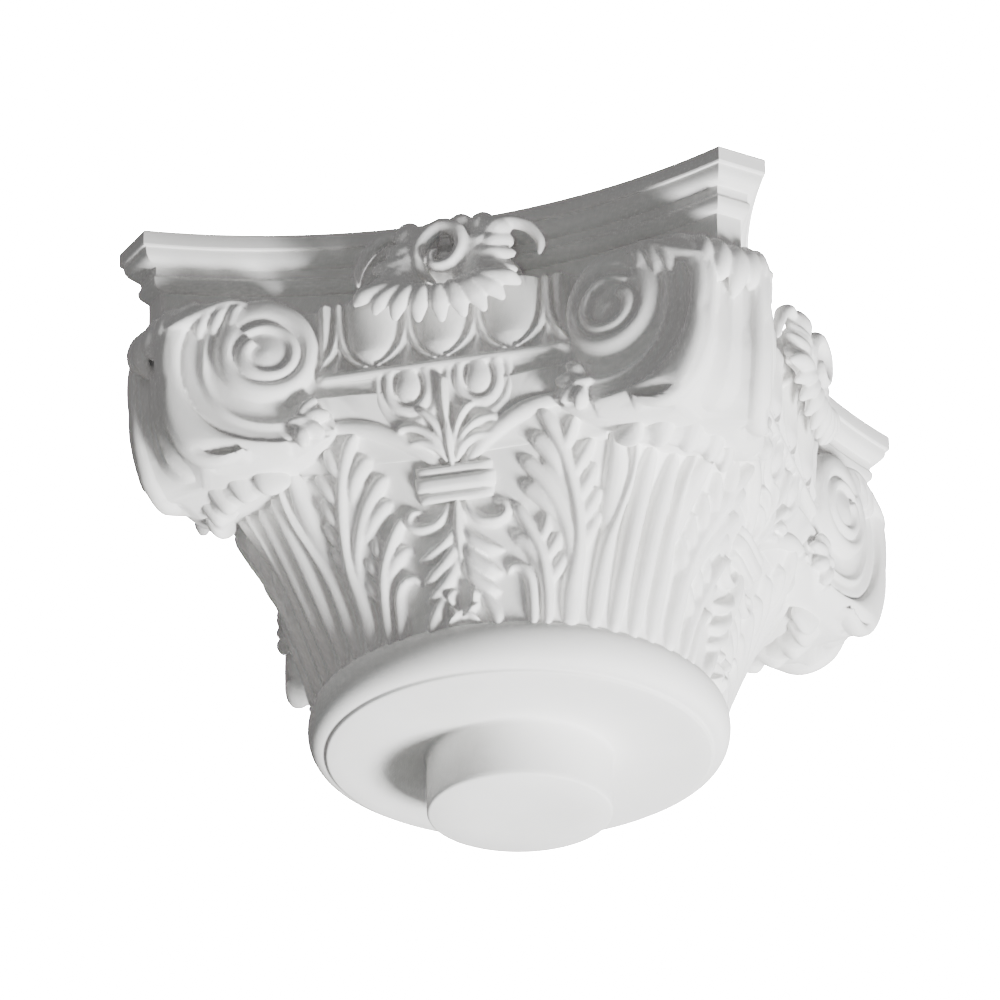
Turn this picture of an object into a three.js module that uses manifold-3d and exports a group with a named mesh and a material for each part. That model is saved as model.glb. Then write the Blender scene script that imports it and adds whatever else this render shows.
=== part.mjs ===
// A cast column capital of the Composite order, for a round column: a short tenon, a flat bed
// ringed by a torus, a bell of acanthus, a straight egg-and-dart echinus between diagonal
// volutes, and a concave-sided abacus with cut horns and a fleuron on each side.
// It is one solid casting. Millimetres, +Z up, origin at the centre of the tenon's end.
import * as THREE from "three";
import { mergeVertices } from "three/addons/utils/BufferGeometryUtils.js";
import Module from "manifold-3d";

// Driving dimensions. Heights are above the bed, the flat ring that sits on the column.
const tenon = { radius: 52.5, length: 35 };
const neck = { bedRadius: 112, torusRadius: 120, torusHeight: 30, neckRadius: 112 };
const abacus = { top: 267, soffit: 205, horn: 188.6, hornInner: 167, waist: 150 };
const bell = { foot: 22, top: 208 };
const volute = { x: 100, y: 168, z: 183, turnIn: 16, eyeStand: 7 };
const echinus = { halfLength: 72, front: 169, back: 110, bottom: 170, top: 208, eggStep: 40 };
const fleuron = { front: 166, centre: 217, halfWidth: 55, up: 47, down: 27 };
const tie = { halfWidth: 22, bottom: 99, top: 117, stand: 9 };
const plaster = { color: 0xf2f1ee, roughness: 0.85, metalness: 0 };

const sides = 4;
const rad = THREE.MathUtils.degToRad;
const lerp = THREE.MathUtils.lerp;
const smooth = (x) => THREE.MathUtils.smoothstep(x, 0, 1);

const wasm = await Module();
wasm.setup();

// A closed geometry as a manifold solid. A placing that mirrors turns the faces round, and
// they are turned back here.
function solid(geometry) {
  const bare = geometry.clone();
  bare.deleteAttribute("normal");
  bare.deleteAttribute("uv");
  const merged = mergeVertices(bare, 1e-3);
  const vertProperties = merged.attributes.position.array;
  const triVerts = new Uint32Array(merged.index.array);
  const build = () => new wasm.Manifold(new wasm.Mesh({ numProp: 3, vertProperties, triVerts }));
  const body = build();
  if (body.volume() > 0) return body;
  for (let i = 0; i < triVerts.length; i += 3)
    [triVerts[i + 1], triVerts[i + 2]] = [triVerts[i + 2], triVerts[i + 1]];
  return build();
}

// Moves every vertex of a geometry to where place(vertex) says, and makes it a solid.
function shaped(geometry, place) {
  const spots = geometry.attributes.position;
  const spot = new THREE.Vector3();
  for (let i = 0; i < spots.count; i++) {
    spot.fromBufferAttribute(spots, i);
    const moved = place(spot);
    spots.setXYZ(i, moved.x, moved.y, moved.z);
  }
  return solid(geometry);
}

const join = (solids) => solids.reduce((all, next) => all.add(next));
const turned = (body, angle) => body.rotate([0, 0, angle]);

// Copies a half-face solid to the other half by mirroring it across the face's centre line.
const bothHalves = (body) => body.add(body.mirror([1, 0, 0]));

// Radii of the bell at heights above the bed: on a side's centre line, and on the diagonal,
// where it swells into the corner leaf.
const sideStations = [
  [0, 110], [30, 112], [60, 117], [90, 125], [115, 134], [135, 144], [150, 152], [210, 152],
];
const cornerStations = [
  [0, 110], [30, 113], [50, 119], [80, 132], [95, 141], [112, 154], [125, 165], [150, 186], [210, 196],
];
function radiusAt(stations, height) {
  const above = stations.findIndex(([h]) => h >= height);
  if (above < 1) return stations.at(above)[1];
  const [[h0, r0], [h1, r1]] = stations.slice(above - 1, above + 1);
  return lerp(r0, r1, (height - h0) / (h1 - h0));
}

// The bell's radius at an angle in degrees from a side's centre line and a height above the bed.
function bellRadius(angle, height) {
  const towardCorner = 0.5 - 0.5 * Math.cos(sides * rad(angle));
  return lerp(radiusAt(sideStations, height), radiusAt(cornerStations, height), towardCorner);
}

// A point on the front side of the bell, standing out of it by a distance.
function onBell(angle, height, stand) {
  const radius = bellRadius(angle, height) + stand;
  const a = rad(angle);
  return new THREE.Vector3(radius * Math.sin(a), -radius * Math.cos(a), tenon.length + height);
}

// The turned foot: tenon, bed and torus.
function foot() {
  const { bedRadius, torusRadius, torusHeight, neckRadius } = neck;
  const profile = [
    new THREE.Vector2(0, 0),
    new THREE.Vector2(tenon.radius, 0),
    new THREE.Vector2(tenon.radius, tenon.length),
    new THREE.Vector2(bedRadius, tenon.length),
    new THREE.Vector2(bedRadius + 1.5, tenon.length + 2),
  ];
  const torusSteps = 3;
  for (let i = 0; i <= torusSteps; i++) {
    const a = lerp(-60, 80, i / torusSteps);
    profile.push(
      new THREE.Vector2(
        lerp(neckRadius, torusRadius, Math.cos(rad(a))),
        tenon.length + torusHeight * (0.5 + 0.5 * Math.sin(rad(a))),
      ),
    );
  }
  profile.push(new THREE.Vector2(0, tenon.length + torusHeight));
  return solid(new THREE.LatheGeometry(profile, 32).rotateX(Math.PI / 2));
}

// The bell itself, round at the neck and drawn out to the four corners as it rises.
function bellBody() {
  const heights = [bell.foot, 50, 80, 112, 150, bell.top];
  const steps = heights.length - 1;
  const barrel = new THREE.CylinderGeometry(1, 1, 1, 24, steps).rotateX(Math.PI / 2);
  return shaped(barrel, (spot) => {
    const height = heights[Math.round((spot.z + 0.5) * steps)];
    if (Math.hypot(spot.x, spot.y) < 0.5) return new THREE.Vector3(0, 0, tenon.length + height);
    const angle = THREE.MathUtils.radToDeg(Math.atan2(spot.x, -spot.y));
    return onBell(angle, height, 0);
  });
}

// The abacus: a plan of four hollow sides and four cut horns, carried down through its mouldings.
function abacusPlan(inset) {
  const { horn, hornInner, waist } = abacus;
  const sagitta = horn - waist;
  const arcRadius = (hornInner ** 2 + sagitta ** 2) / (2 * sagitta) + inset;
  const arcCentre = waist - inset + arcRadius;
  const end = hornInner - inset * 0.45;
  const steps = 6;
  const plan = [];
  for (let side = 0; side < sides; side++) {
    for (let i = 0; i <= steps; i++) {
      const x = lerp(-end, end, i / steps);
      const y = -(arcCentre - Math.sqrt(arcRadius ** 2 - x ** 2));
      const point = new THREE.Vector2(x, y);
      plan.push(point.rotateAround(new THREE.Vector2(), (side * Math.PI) / 2));
    }
  }
  return plan;
}

function abacusSlab() {
  const depth = abacus.top - abacus.soffit;
  // how far in, and what share of the way down, each line of the moulding lies
  const lines = [
    [0, 0], [0, 0.16], [4.4, 0.3], [5.6, 0.41], [9, 0.52], [12.5, 1],
  ];
  const plans = lines.map(([inset]) => abacusPlan(inset));
  const around = plans[0].length;
  const barrel = new THREE.CylinderGeometry(1, 1, 1, around, lines.length - 1).rotateX(Math.PI / 2);
  return shaped(barrel, (spot) => {
    const level = Math.round((0.5 - spot.z) * (lines.length - 1));
    const z = tenon.length + abacus.top - depth * lines[level][1];
    if (Math.hypot(spot.x, spot.y) < 0.5) return new THREE.Vector3(0, 0, z);
    const turn = Math.atan2(spot.y, spot.x) / (2 * Math.PI) + 1;
    const point = plans[level][Math.round(turn * around) % around];
    return new THREE.Vector3(point.x, point.y, z);
  });
}

// A leaf laid on the bell: a bent slab whose spine, half width and swell are given along it.
function leaf({ spine, halfWidth, lobes, swell, tipCurl = 0, across = 2, along = 4 }) {
  const root = -6;
  const slab = new THREE.BoxGeometry(2, 1, 1, across, along, 1);
  return shaped(slab, (spot) => {
    const v = spot.y + 0.5;
    const [angle, height] = spine(v);
    const notch = 1 - 0.32 * Math.abs(Math.sin(Math.PI * lobes * v)) ** 3;
    const reach = halfWidth(v) * notch * spot.x;
    const rib = 1 - 0.55 * Math.abs(spot.x);
    const out = swell(v) * rib + tipCurl * smooth((v - 0.7) / 0.3);
    const stand = spot.z < 0 ? root : out;
    const turn = THREE.MathUtils.radToDeg(reach / bellRadius(angle, height));
    return onBell(angle + turn, height, stand);
  });
}

// Runs a spine through three [angle, height] stations.
function through(a, b, c) {
  const curve = new THREE.QuadraticBezierCurve(
    new THREE.Vector2(...a),
    new THREE.Vector2(...b),
    new THREE.Vector2(...c),
  );
  return (v) => curve.getPoint(v).toArray();
}

// Tall leaf beside the corner and small leaf towards the side's centre.
function sideLeaves() {
  const tall = leaf({
    spine: through([29, 8], [28.4, 76], [19.5, 139]),
    halfWidth: (v) => lerp(6, 17, smooth((v - 0.35) / 0.3)) * (1 - 0.7 * smooth((v - 0.7) / 0.3)),
    lobes: 4,
    swell: (v) => lerp(5, 12, v),
    tipCurl: 4,
    along: 6,
  });
  const small = leaf({
    spine: through([22.5, 8], [20.4, 65], [14.5, 93]),
    halfWidth: (v) => lerp(3.5, 9, smooth((v - 0.3) / 0.4)) * (1 - 0.7 * smooth((v - 0.7) / 0.3)),
    lobes: 2,
    swell: (v) => lerp(6, 10, v),
    tipCurl: 4,
  });
  return tall.add(small);
}

// The corner leaf: ribs that fan out up the swelling corner to a rolled, lobed tip.
function cornerLeaf() {
  const ribs = [-8, 0, 8].map((offset) =>
    leaf({
      spine: (v) => [45 + offset * lerp(1.1, 0.85, v), lerp(10, 124, v)],
      halfWidth: (v) => lerp(4, 7, v),
      lobes: 0,
      swell: () => 4,
      across: 1,
      along: 3,
    }),
  );
  const roll = shaped(new THREE.SphereGeometry(1, 8, 4), (spot) => {
    const turn = Math.atan2(spot.y, spot.x);
    const scallop = 1 - 0.16 * Math.sin(turn * 3.5) ** 2;
    const out = 18 * spot.x * scallop;
    const wide = 36 * spot.y * scallop;
    const diagonal = 181 + out - 0.006 * wide ** 2;
    return new THREE.Vector3(
      (diagonal + wide) * Math.SQRT1_2,
      -(diagonal - wide) * Math.SQRT1_2,
      tenon.length + 119 + 14 * spot.z - 0.3 * out,
    );
  });
  return join([...ribs, roll]);
}

// A point on the right-hand volute of the front face: how far outward and upward from the eye,
// and how far it stands out of the disc.
function onVolute(outward, upward, stand) {
  const a = rad(volute.turnIn);
  return new THREE.Vector3(
    volute.x + outward * Math.cos(a) - stand * Math.sin(a),
    -(volute.y + outward * Math.sin(a) + stand * Math.cos(a)),
    tenon.length + volute.z + upward,
  );
}

// The outline of a horn's scroll, seen square to the diagonal.
function scrollOutline() {
  const outline = new THREE.Shape();
  outline.moveTo(-85, 34);
  outline.lineTo(20, 34);
  outline.bezierCurveTo(38, 34, 50, 34, 60, 24);
  outline.bezierCurveTo(64, 8, 60, -12, 57, -30);
  outline.bezierCurveTo(52, -50, 40, -62, 12, -64);
  outline.lineTo(-85, -58);
  return outline;
}

// The body of the scroll on the right-hand corner, which carries a volute on each side and
// a strip down the middle between two fillets.
function hornScroll() {
  const eyeReach = (volute.x + volute.y) * Math.SQRT1_2;
  const eyeHalf = (volute.y - volute.x) * Math.SQRT1_2;
  const shrink = Math.tan(rad(45 - volute.turnIn));
  const slab = (outline, width) => {
    const block = new THREE.ExtrudeGeometry(outline, {
      depth: 2,
      bevelEnabled: false,
      curveSegments: 3,
    });
    return shaped(block, (spot) => {
      const reach = eyeReach + spot.x * Math.cos(rad(45 - volute.turnIn));
      const half = width ?? eyeHalf - (reach - eyeReach) * shrink + 1.5;
      const across = (spot.z - 1) * half;
      return new THREE.Vector3(
        (reach + across) * Math.SQRT1_2,
        -(reach - across) * Math.SQRT1_2,
        tenon.length + volute.z + spot.y,
      );
    });
  };
  const strip = new THREE.Shape();
  strip.moveTo(0, 34);
  strip.bezierCurveTo(50, 40, 66, 26, 63, 12);
  strip.bezierCurveTo(66, -22, 52, -60, 14, -67);
  strip.lineTo(0, -60);
  return slab(scrollOutline()).add(slab(strip, 13));
}

// The spiral band of the right-hand volute, wound in from the rim and rising to its eye.
function spiral() {
  const turns = 1.25;
  const steps = 9;
  const woundRadius = (t) => lerp(31, 9, t ** 0.8);
  const bandAt = (t) => lerp(7.5, 3.2, t);
  const standAt = (t) => lerp(3, volute.eyeStand, t);
  const band = new THREE.BoxGeometry(2, 1, 1, 1, steps, 1);
  const coil = shaped(band, (spot) => {
    const t = spot.y + 0.5;
    const turn = rad(-100) + 2 * Math.PI * turns * t;
    const radius = woundRadius(t) + (spot.x * bandAt(t)) / 2;
    const stand = spot.z < 0 ? -6 : standAt(t) + 1.2 - 1.2 * spot.x;
    return onVolute(-radius * Math.cos(turn), radius * Math.sin(turn), stand);
  });
  const eye = shaped(new THREE.SphereGeometry(7.5, 6, 3), (spot) =>
    onVolute(spot.x, spot.y, volute.eyeStand - 3 + spot.z),
  );
  return coil.add(eye);
}

// The echinus: a straight band of eggs and darts over an astragal, and the splay below it.
function echinusBand() {
  const { halfLength, front, back, bottom, top, eggStep } = echinus;
  const band = shaped(new THREE.BoxGeometry(2, 1, 1, 1, 1, 2), (spot) => {
    const up = spot.z + 0.5;
    const face = front - 7 - 10 * (1 - up) ** 2;
    return new THREE.Vector3(
      spot.x * halfLength,
      spot.y < 0 ? -face : -back,
      tenon.length + lerp(bottom, top, up),
    );
  });
  const under = shaped(new THREE.BoxGeometry(2, 1, 1), (spot) => {
    const up = spot.z + 0.5;
    return new THREE.Vector3(
      spot.x * halfLength * lerp(0.6, 0.9, up),
      spot.y < 0 ? -lerp(148, front - 17, up) : -back,
      tenon.length + lerp(134, bottom, up),
    );
  });
  const astragal = new THREE.CylinderGeometry(3.2, 3.2, 2 * halfLength, 4)
    .rotateZ(Math.PI / 2)
    .translate(0, -(front - 14), tenon.length + bottom - 1);
  const eggs = [-1, 0, 1].map((n) =>
    solid(
      new THREE.SphereGeometry(1, 6, 4)
        .scale(15, 12, 27)
        .translate(n * eggStep, -(front - 12), tenon.length + top - 14),
    ),
  );
  const darts = [-1, 1].map((n) =>
    solid(
      new THREE.ConeGeometry(6, 26, 4)
        .rotateX(Math.PI / 2)
        .translate((n * eggStep) / 2, -(front - 13), tenon.length + bottom + 14),
    ),
  );
  return join([band, under, solid(astragal), ...eggs, ...darts]);
}

// A fan of curved lobes on the front of the abacus or echinus, ridged round its centre.
function fan({ from, to, lobes, reach, stand, spring }) {
  const perLobe = 2;
  const slab = new THREE.BoxGeometry(1, 1, 1, lobes * perLobe, 1, 1);
  return shaped(slab, (spot) => {
    const t = spot.x + 0.5;
    const v = spot.y + 0.5;
    const turn = rad(lerp(from, to, t));
    const wave = Math.abs(Math.sin(Math.PI * lobes * t));
    const radius = 2 + reach(turn) * v * (1 - 0.14 * (1 - wave) * v);
    const out = stand + 3.5 * wave * Math.sin(Math.PI * Math.min(1, v + 0.15)) + spring * v * (1 - v);
    return new THREE.Vector3(
      radius * Math.cos(turn),
      spot.z < 0 ? -(abacus.waist - 20) : -(fleuron.front + out - 10 * v * v),
      tenon.length + fleuron.centre + radius * Math.sin(turn),
    );
  });
}

function fleuronFlower() {
  const { front, centre, halfWidth, up, down } = fleuron;
  const oval = (wide, high) => (turn) =>
    1 / Math.hypot(Math.cos(turn) / wide, Math.sin(turn) / high);
  const crown = fan({ from: -8, to: 188, lobes: 5, reach: oval(halfWidth, up), stand: 0, spring: 10 });
  const collar = fan({
    from: -172,
    to: -8,
    lobes: 4,
    reach: oval(halfWidth * 0.85, down + 5),
    stand: 2,
    spring: 24,
  });
  const curl = new THREE.CylinderGeometry(13, 11, 20, 7)
    .translate(0, -front, tenon.length + centre + 20);
  return join([crown, collar, solid(curl)]);
}

// Ribbons rise from the tie to the volutes; a pendant of drooping leaves hangs below it.
function centrePiece() {
  const { halfWidth, bottom, top, stand } = tie;
  const tieBar = shaped(new THREE.BoxGeometry(2, 1, 1, 2, 1, 1), (spot) => {
    const height = lerp(bottom, top, spot.y + 0.5);
    const angle = THREE.MathUtils.radToDeg((spot.x * halfWidth) / bellRadius(0, height));
    return onBell(angle, height, spot.z < 0 ? -6 : stand);
  });
  const ribbon = leaf({
    spine: through([3, top - 4], [9, 138], [25, 140]),
    halfWidth: (v) => lerp(5, 9, v),
    lobes: 0,
    swell: (v) => lerp(9, 14, v),
    along: 2,
  });
  const pendant = leaf({
    spine: (v) => [0, lerp(12, 86, v)],
    halfWidth: (v) => lerp(22, 9, v),
    lobes: 4,
    swell: () => 8,
    along: 5,
  });
  return join([
    tieBar,
    bothHalves(ribbon),
    pendant,
  ]);
}

const corner = cornerLeaf().add(hornScroll()).add(spiral());
const cornerPair = corner.add(spiral().mirror([1, 0, 0]).rotate([0, 0, 90]));
const face = join([cornerPair, bothHalves(sideLeaves()), echinusBand(), fleuronFlower(), centrePiece()]);
const ring = Array.from({ length: sides }, (_, side) => turned(face, (side * 360) / sides));
const whole = join([foot(), bellBody(), abacusSlab(), ...ring]);

function geometryOf(body) {
  const mesh = body.getMesh();
  const geometry = new THREE.BufferGeometry();
  geometry.setAttribute("position", new THREE.BufferAttribute(mesh.vertProperties, 3));
  geometry.setIndex(new THREE.BufferAttribute(mesh.triVerts, 1));
  geometry.computeVertexNormals();
  return geometry;
}

const capital = new THREE.Mesh(geometryOf(whole), new THREE.MeshStandardMaterial(plaster));
capital.name = "capital";

const group = new THREE.Group();
group.add(capital);
export default group;
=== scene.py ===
import math

import bmesh
import bpy
import numpy as np
from mathutils import Matrix, Vector


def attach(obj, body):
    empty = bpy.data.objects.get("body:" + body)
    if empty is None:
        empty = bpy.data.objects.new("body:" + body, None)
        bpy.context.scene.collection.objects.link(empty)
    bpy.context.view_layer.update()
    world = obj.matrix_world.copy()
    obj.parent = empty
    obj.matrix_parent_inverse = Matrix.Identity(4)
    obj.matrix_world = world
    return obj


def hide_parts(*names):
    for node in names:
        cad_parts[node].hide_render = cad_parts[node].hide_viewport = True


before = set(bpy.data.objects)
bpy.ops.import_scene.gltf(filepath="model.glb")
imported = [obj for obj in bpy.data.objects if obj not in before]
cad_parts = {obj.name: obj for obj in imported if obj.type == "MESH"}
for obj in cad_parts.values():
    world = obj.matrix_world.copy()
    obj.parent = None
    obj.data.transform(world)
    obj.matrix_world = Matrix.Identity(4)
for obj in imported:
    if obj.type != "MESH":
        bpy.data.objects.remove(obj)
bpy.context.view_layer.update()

metresPerMillimetre = 0.001
bedHeight = 35.0  # the bed that sits on the column, above the tenon's end; heights below are from it

# camera
view = {
    "place": (0.78224, -2.98363, -1.44487),
    "right": (0.9653579, 0.2608042, -0.0080812),
    "up": (0.1296484, -0.4525516, 0.8822632),
    "lens": 217.635,
}


def makeCamera(settings):
    data = bpy.data.cameras.new("studioCamera")
    data.lens = settings["lens"]
    data.sensor_width = 36.0
    data.clip_end = 60.0
    camera = bpy.data.objects.new("studioCamera", data)
    right = Vector(settings["right"])
    up = Vector(settings["up"])
    back = right.cross(up)
    turn = Matrix((right, up, back)).transposed().to_4x4()
    camera.matrix_world = Matrix.Translation(Vector(settings["place"])) @ turn
    bpy.context.scene.collection.objects.link(camera)
    bpy.context.scene.camera = camera


makeCamera(view)

# studio: pale floor far below, white air, a key from below right and a weak light from the front
studio = {
    "floorHeight": -2.6,
    "floorSize": 30.0,
    "floorColour": (0.86, 0.86, 0.85, 1.0),
    "airLight": 0.2,
    "airSeen": 60.0,
    "keyPower": 470.0,
    "keyPlace": (2.1, -0.6, -2.45),
    "keySize": 0.9,
    "frontPower": 5.0,
    "frontPlace": (0.2, -3.6, 0.6),
    "frontSize": 1.8,
}


def areaLight(name, place, target, power, size):
    data = bpy.data.lights.new(name, "AREA")
    data.energy = power
    data.size = size
    lamp = bpy.data.objects.new(name, data)
    lamp.location = place
    aim = Vector(target) - Vector(place)
    lamp.rotation_euler = aim.to_track_quat("-Z", "Y").to_euler()
    bpy.context.scene.collection.objects.link(lamp)


def makeStudio(settings):
    bm = bmesh.new()
    bmesh.ops.create_grid(bm, x_segments=1, y_segments=1, size=settings["floorSize"])
    bmesh.ops.translate(bm, verts=bm.verts, vec=(0, 0, settings["floorHeight"]))
    mesh = bpy.data.meshes.new("studioFloor")
    bm.to_mesh(mesh)
    bm.free()
    floor = bpy.data.objects.new("studioFloor", mesh)
    bpy.context.scene.collection.objects.link(floor)
    paint = bpy.data.materials.new("studioFloorPaint")
    paint.use_nodes = True
    shader = paint.node_tree.nodes["Principled BSDF"]
    shader.inputs["Base Color"].default_value = settings["floorColour"]
    shader.inputs["Roughness"].default_value = 0.9
    mesh.materials.append(paint)

    air = bpy.data.worlds.new("studioAir")
    air.use_nodes = True
    tree = air.node_tree
    tree.nodes.clear()
    seen = tree.nodes.new("ShaderNodeBackground")
    seen.inputs["Color"].default_value = (1, 1, 1, 1)
    seen.inputs["Strength"].default_value = settings["airSeen"]
    lit = tree.nodes.new("ShaderNodeBackground")
    lit.inputs["Color"].default_value = (1, 1, 1, 1)
    lit.inputs["Strength"].default_value = settings["airLight"]
    path = tree.nodes.new("ShaderNodeLightPath")
    mix = tree.nodes.new("ShaderNodeMixShader")
    out = tree.nodes.new("ShaderNodeOutputWorld")
    tree.links.new(path.outputs["Is Camera Ray"], mix.inputs["Fac"])
    tree.links.new(lit.outputs["Background"], mix.inputs[1])
    tree.links.new(seen.outputs["Background"], mix.inputs[2])
    tree.links.new(mix.outputs["Shader"], out.inputs["Surface"])
    bpy.context.scene.world = air

    areaLight("keyLight", settings["keyPlace"], (0, 0, 0.15), settings["keyPower"], settings["keySize"])
    lamp = [settings["frontPower"], settings["frontSize"]]
    areaLight("frontLight", settings["frontPlace"], (0, 0, 0.1), *lamp)


makeStudio(studio)
print("studio set up")

# plaster
plaster = {
    "light": (0.90, 0.897, 0.885, 1.0),
    "dark": (0.84, 0.836, 0.82, 1.0),
    "roughness": 0.82,
    "mottleScale": 14.0,
    "pitScale": 900.0,
    "grainScale": 2600.0,
}


def pittedGroup():
    group = bpy.data.node_groups.new("castSurface", "ShaderNodeTree")
    group.interface.new_socket("Mottle Scale", in_out="INPUT", socket_type="NodeSocketFloat")
    group.interface.new_socket("Pit Scale", in_out="INPUT", socket_type="NodeSocketFloat")
    group.interface.new_socket("Grain Scale", in_out="INPUT", socket_type="NodeSocketFloat")
    group.interface.new_socket("Mottle", in_out="OUTPUT", socket_type="NodeSocketFloat")
    group.interface.new_socket("Pits", in_out="OUTPUT", socket_type="NodeSocketFloat")
    group.interface.new_socket("Grain", in_out="OUTPUT", socket_type="NodeSocketFloat")
    nodes, links = group.nodes, group.links
    given = nodes.new("NodeGroupInput")
    out = nodes.new("NodeGroupOutput")
    place = nodes.new("ShaderNodeTexCoord")

    mottle = nodes.new("ShaderNodeTexNoise")
    mottle.inputs["Detail"].default_value = 5.0
    links.new(place.outputs["Object"], mottle.inputs["Vector"])
    links.new(given.outputs["Mottle Scale"], mottle.inputs["Scale"])
    links.new(mottle.outputs["Fac"], out.inputs["Mottle"])

    cells = nodes.new("ShaderNodeTexVoronoi")
    links.new(place.outputs["Object"], cells.inputs["Vector"])
    links.new(given.outputs["Pit Scale"], cells.inputs["Scale"])
    rim = nodes.new("ShaderNodeMapRange")
    rim.inputs["From Min"].default_value = 0.0
    rim.inputs["From Max"].default_value = 0.16
    links.new(cells.outputs["Distance"], rim.inputs["Value"])
    links.new(rim.outputs["Result"], out.inputs["Pits"])

    grain = nodes.new("ShaderNodeTexNoise")
    grain.inputs["Detail"].default_value = 3.0
    links.new(place.outputs["Object"], grain.inputs["Vector"])
    links.new(given.outputs["Grain Scale"], grain.inputs["Scale"])
    links.new(grain.outputs["Fac"], out.inputs["Grain"])
    return group


def makePlaster(settings, surface):
    paint = bpy.data.materials.new("castPlaster")
    paint.use_nodes = True
    nodes, links = paint.node_tree.nodes, paint.node_tree.links
    shader = nodes["Principled BSDF"]
    shader.inputs["Specular IOR Level"].default_value = 0.35
    cast = nodes.new("ShaderNodeGroup")
    cast.node_tree = surface
    cast.inputs["Mottle Scale"].default_value = settings["mottleScale"]
    cast.inputs["Pit Scale"].default_value = settings["pitScale"]
    cast.inputs["Grain Scale"].default_value = settings["grainScale"]
    tint = nodes.new("ShaderNodeMix")
    tint.data_type = "RGBA"
    tint.inputs[6].default_value = settings["dark"]
    tint.inputs[7].default_value = settings["light"]
    spread = nodes.new("ShaderNodeMapRange")
    spread.inputs["From Min"].default_value = 0.35
    spread.inputs["From Max"].default_value = 0.62
    links.new(cast.outputs["Mottle"], spread.inputs["Value"])
    links.new(spread.outputs["Result"], tint.inputs["Factor"])
    links.new(tint.outputs[2], shader.inputs["Base Color"])
    rough = nodes.new("ShaderNodeMapRange")
    rough.inputs["To Min"].default_value = settings["roughness"] - 0.07
    rough.inputs["To Max"].default_value = settings["roughness"] + 0.08
    links.new(cast.outputs["Grain"], rough.inputs["Value"])
    links.new(rough.outputs["Result"], shader.inputs["Roughness"])
    pitBump = nodes.new("ShaderNodeBump")
    pitBump.inputs["Strength"].default_value = 0.25
    pitBump.inputs["Distance"].default_value = 0.0004
    links.new(cast.outputs["Pits"], pitBump.inputs["Height"])
    grainBump = nodes.new("ShaderNodeBump")
    grainBump.inputs["Strength"].default_value = 0.18
    grainBump.inputs["Distance"].default_value = 0.0003
    links.new(cast.outputs["Grain"], grainBump.inputs["Height"])
    links.new(pitBump.outputs["Normal"], grainBump.inputs["Normal"])
    links.new(grainBump.outputs["Normal"], shader.inputs["Normal"])
    return paint


plasterPaint = makePlaster(plaster, pittedGroup())

# tools shared by the pieces


def finishPiece(bm, name):
    # millimetres above the bed become metres in the part's own frame
    bmesh.ops.translate(bm, verts=bm.verts, vec=(0, 0, bedHeight))
    bmesh.ops.scale(bm, verts=bm.verts, vec=(metresPerMillimetre,) * 3)
    bmesh.ops.recalc_face_normals(bm, faces=bm.faces)
    for face in bm.faces:
        face.smooth = True
    mesh = bpy.data.meshes.new(name)
    bm.to_mesh(mesh)
    bm.free()
    mesh.materials.append(plasterPaint)
    piece = bpy.data.objects.new(name, mesh)
    bpy.context.scene.collection.objects.link(piece)
    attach(piece, "root")
    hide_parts("capital")
    print(name, len(mesh.polygons), "faces")
    return piece


def roundFour(bm):
    # one half side, mirrored across its centre line and turned to all four sides
    geometry = bm.verts[:] + bm.edges[:] + bm.faces[:]
    copied = bmesh.ops.duplicate(bm, geom=geometry)["geom"]
    mirrored = [item for item in copied if isinstance(item, bmesh.types.BMVert)]
    bmesh.ops.scale(bm, verts=mirrored, vec=(-1, 1, 1))
    flipped = [item for item in copied if isinstance(item, bmesh.types.BMFace)]
    bmesh.ops.reverse_faces(bm, faces=flipped)
    turnFour(bm)
    bmesh.ops.remove_doubles(bm, verts=bm.verts, dist=0.02)


def turnFour(bm):
    geometry = bm.verts[:] + bm.edges[:] + bm.faces[:]
    bmesh.ops.spin(
        bm,
        geom=geometry,
        cent=(0, 0, 0),
        axis=(0, 0, 1),
        angle=1.5 * math.pi,
        steps=3,
        use_duplicate=True,
    )


def remeshed(bm, voxel, smoothing, keepTriangles):
    # the overlapping closed shapes of a tier become one skin, softened and thinned
    mesh = bpy.data.meshes.new("draft")
    bm.to_mesh(mesh)
    bm.free()
    draft = bpy.data.objects.new("draft", mesh)
    bpy.context.scene.collection.objects.link(draft)
    skin = draft.modifiers.new("skin", "REMESH")
    skin.mode = "VOXEL"
    skin.voxel_size = voxel * 1.0
    soften = draft.modifiers.new("soften", "SMOOTH")
    soften.factor = 0.5
    soften.iterations = smoothing
    bpy.context.view_layer.update()
    graph = bpy.context.evaluated_depsgraph_get()
    fine = bpy.data.meshes.new_from_object(draft.evaluated_get(graph))
    quads = len(fine.polygons)
    draft.modifiers.clear()
    draft.data = fine
    thin = draft.modifiers.new("thin", "DECIMATE")
    thin.ratio = min(1.0, keepTriangles / (2.0 * quads))
    graph = bpy.context.evaluated_depsgraph_get()
    final = bpy.data.meshes.new_from_object(draft.evaluated_get(graph))
    result = bmesh.new()
    result.from_mesh(final)
    bpy.data.objects.remove(draft)
    print("  skin", quads, "quads, thinned to", len(final.polygons))
    return result


def cutEighth(bm):
    # keeps the wedge between a side's centre line and the diagonal
    for normal in ((-1, 0, 0), (1, 1, 0)):
        bmesh.ops.bisect_plane(
            bm,
            geom=bm.verts[:] + bm.edges[:] + bm.faces[:],
            dist=1e-4,
            plane_co=(0, 0, 0),
            plane_no=normal,
            clear_outer=True,
        )


def blendStations(values, share):
    # smooth value along evenly spaced stations
    values = np.asarray(values, float)
    spot = np.clip(share, 0, 1) * (len(values) - 1)
    low = np.minimum(spot.astype(int), len(values) - 2)
    part = spot - low
    part = part * part * (3 - 2 * part)
    return values[low] * (1 - part) + values[low + 1] * part


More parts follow.
